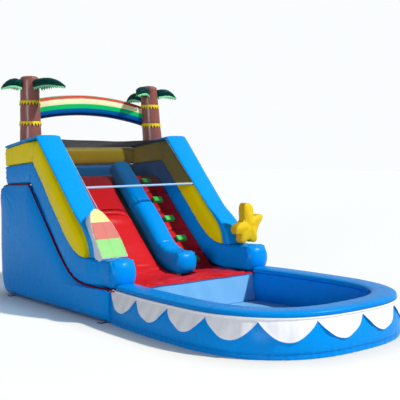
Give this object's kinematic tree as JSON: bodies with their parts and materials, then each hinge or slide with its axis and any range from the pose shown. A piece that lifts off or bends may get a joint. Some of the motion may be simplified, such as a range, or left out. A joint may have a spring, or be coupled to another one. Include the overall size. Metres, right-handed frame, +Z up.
{
  "type": "inflatable water slide",
  "caption": "Inflatable water slide: padded tower with a slide lane beside a climbing lane, net over the platform, palms joined by a rainbow arch, oval splash pool.",
  "frame": {"origin": "bottom centre of the whole inflated object, on the ground", "axes": "+Z up; the slide runs down towards -Y into the pool; +X is on the right of someone who faces the slide"},
  "size_m": [2.7844, 5.65, 2.955],
  "materials": {
    "blue_vinyl": "glossy coated fabric",
    "light_blue_vinyl": "glossy coated fabric",
    "liner_vinyl": "semi-gloss coated fabric",
    "yellow_vinyl": "glossy coated fabric",
    "red_vinyl": "glossy coated fabric",
    "green_vinyl": "glossy coated fabric",
    "white_vinyl": "semi-gloss coated fabric",
    "brown_vinyl": "semi-gloss coated fabric",
    "leaf_vinyl": "semi-gloss coated fabric",
    "rainbow_vinyl": "glossy coated fabric in stripes",
    "board_vinyl": "glossy coated fabric in stripes",
    "inner_web": "plain woven coated cloth",
    "net_mesh": "open knitted mesh",
    "webbing": "woven strap",
    "zip_fabric": "woven zip tape",
    "steel": "plated"
  },
  "bodies": {
    "slide": {"baffle_chute": "inner_web", "baffle_climb": "inner_web", "baffle_middle": "inner_web", "base_floor_panel": "blue_vinyl", "base_front_panel": "liner_vinyl", "base_left_panel": "blue_vinyl", "base_rear_panel": "blue_vinyl", "base_right_panel": "blue_vinyl", "blower_sleeve": "blue_vinyl", "climbing_wall": "red_vinyl", "deck_pad": "red_vinyl", "divider_tube": "blue_vinyl", "foot_hold_1": "green_vinyl", "foot_hold_2": "green_vinyl", "foot_hold_3": "green_vinyl", "foot_hold_4": "green_vinyl", "foot_hold_5": "green_vinyl", "landing_lip": "red_vinyl", "landing_pad": "red_vinyl", "left_anchor_tab_1": "webbing", "left_anchor_tab_2": "webbing", "left_front_strip": "light_blue_vinyl", "left_lower_wall": "blue_vinyl", "left_palm_leaf_1": "leaf_vinyl", "left_palm_leaf_2": "leaf_vinyl", "left_palm_leaf_3": "leaf_vinyl", "left_palm_trunk": "brown_vinyl", "left_trunk_band_1": "yellow_vinyl", "left_trunk_band_2": "yellow_vinyl", "left_yellow_tube": "yellow_vinyl", "net_canopy": "net_mesh", "pool_floor": "liner_vinyl", "pool_rim": "blue_vinyl", "pool_wall": "blue_vinyl", "rainbow_arch": "rainbow_vinyl", "rear_lower_bolster": "blue_vinyl", "rear_upper_bolster": "yellow_vinyl", "right_anchor_tab_1": "webbing", "right_anchor_tab_2": "webbing", "right_front_strip": "light_blue_vinyl", "right_lower_wall": "blue_vinyl", "right_palm_leaf_1": "leaf_vinyl", "right_palm_leaf_2": "leaf_vinyl", "right_palm_leaf_3": "leaf_vinyl", "right_palm_trunk": "brown_vinyl", "right_trunk_band_1": "yellow_vinyl", "right_trunk_band_2": "yellow_vinyl", "right_yellow_tube": "yellow_vinyl", "scalloped_valance": "white_vinyl", "sleeve_strap": "webbing", "slide_chute": "red_vinyl", "starfish": "yellow_vinyl", "surfboard": "board_vinyl", "zip_tape": "zip_fabric"},
    "left_ring_rear": {"left_d_ring_1": "steel"},
    "left_ring_front": {"left_d_ring_2": "steel"},
    "right_ring_rear": {"right_d_ring_1": "steel"},
    "right_ring_front": {"right_d_ring_2": "steel"},
    "zip_slider": {"zip_slider": "steel"},
    "zip_flap": {"zip_cover_flap": "blue_vinyl"}
  },
  "joints": [
    {"name": "left_ring_rear_swing", "type": "hinge", "parent": "slide", "child": "left_ring_rear", "pos_m": [-1.30914, 2.20503, 0.0095], "axis": [0, 1, 0], "range_deg": [0, 110]},
    {"name": "left_ring_front_swing", "type": "hinge", "parent": "slide", "child": "left_ring_front", "pos_m": [-1.30914, -0.09497, 0.0095], "axis": [0, 1, 0], "range_deg": [0, 110]},
    {"name": "right_ring_rear_swing", "type": "hinge", "parent": "slide", "child": "right_ring_rear", "pos_m": [1.26086, 2.20503, 0.0095], "axis": [0, -1, 0], "range_deg": [0, 110]},
    {"name": "right_ring_front_swing", "type": "hinge", "parent": "slide", "child": "right_ring_front", "pos_m": [1.26086, -0.09497, 0.0095], "axis": [0, -1, 0], "range_deg": [0, 110]},
    {"name": "zip_slider_travel", "type": "slide", "parent": "slide", "child": "zip_slider", "axis": [1, 0, 0], "range_m": [0, 0.3]},
    {"name": "zip_flap_lift", "type": "hinge", "parent": "slide", "child": "zip_flap", "pos_m": [0.52586, 2.52883, 0.86], "axis": [1, 0, 0], "range_deg": [0, 150]}
  ]
}
